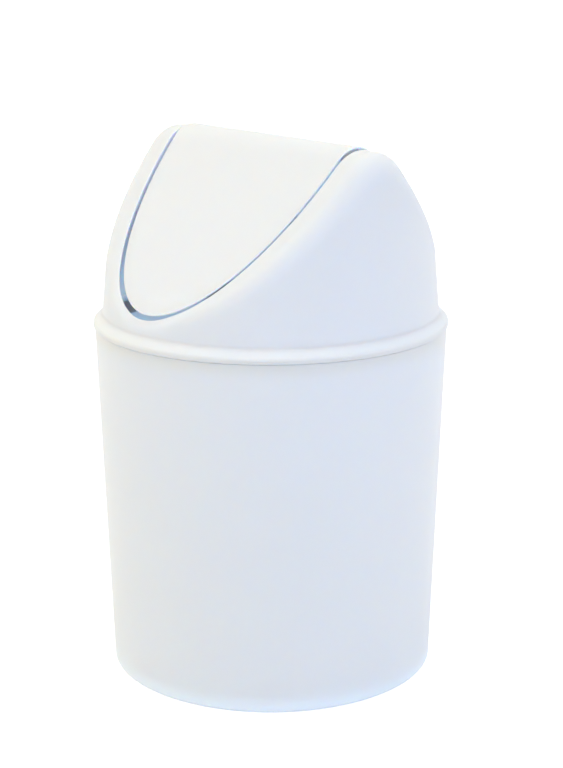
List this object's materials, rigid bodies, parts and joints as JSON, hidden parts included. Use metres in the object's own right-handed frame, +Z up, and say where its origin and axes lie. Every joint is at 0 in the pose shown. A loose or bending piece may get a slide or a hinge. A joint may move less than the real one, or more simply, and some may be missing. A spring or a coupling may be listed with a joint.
{
  "type": "countertop trash can",
  "caption": "Small round tapered bin with a lift-off domed lid and a two-sided swing flap over a rounded ridge, for waste on a worktop.",
  "frame": {"origin": "centre of the foot ring, on the surface the bin stands on", "axes": "+Z up; X runs along the lid's ridge and the flap's hinge; -Y faces the leaf that the picture shows"},
  "size_m": [0.2, 0.2, 0.3038],
  "materials": {
    "bucket_white": "satin",
    "lid_white": "satin",
    "flap_white": "satin"
  },
  "bodies": {
    "bucket": {"bucket": "bucket_white"},
    "lid": {"lid_frame": "lid_white"},
    "flap": {"swing_flap": "flap_white"}
  },
  "joints": [
    {"name": "lid_lift", "type": "slide", "parent": "bucket", "child": "lid", "axis": [0, 0, 1], "range_m": [0, 0.08]},
    {"name": "flap_swing", "type": "hinge", "parent": "lid", "child": "flap", "pos_m": [0, 0, 0.28609], "axis": [1, 0, 0], "range_deg": [-75, 75]}
  ]
}
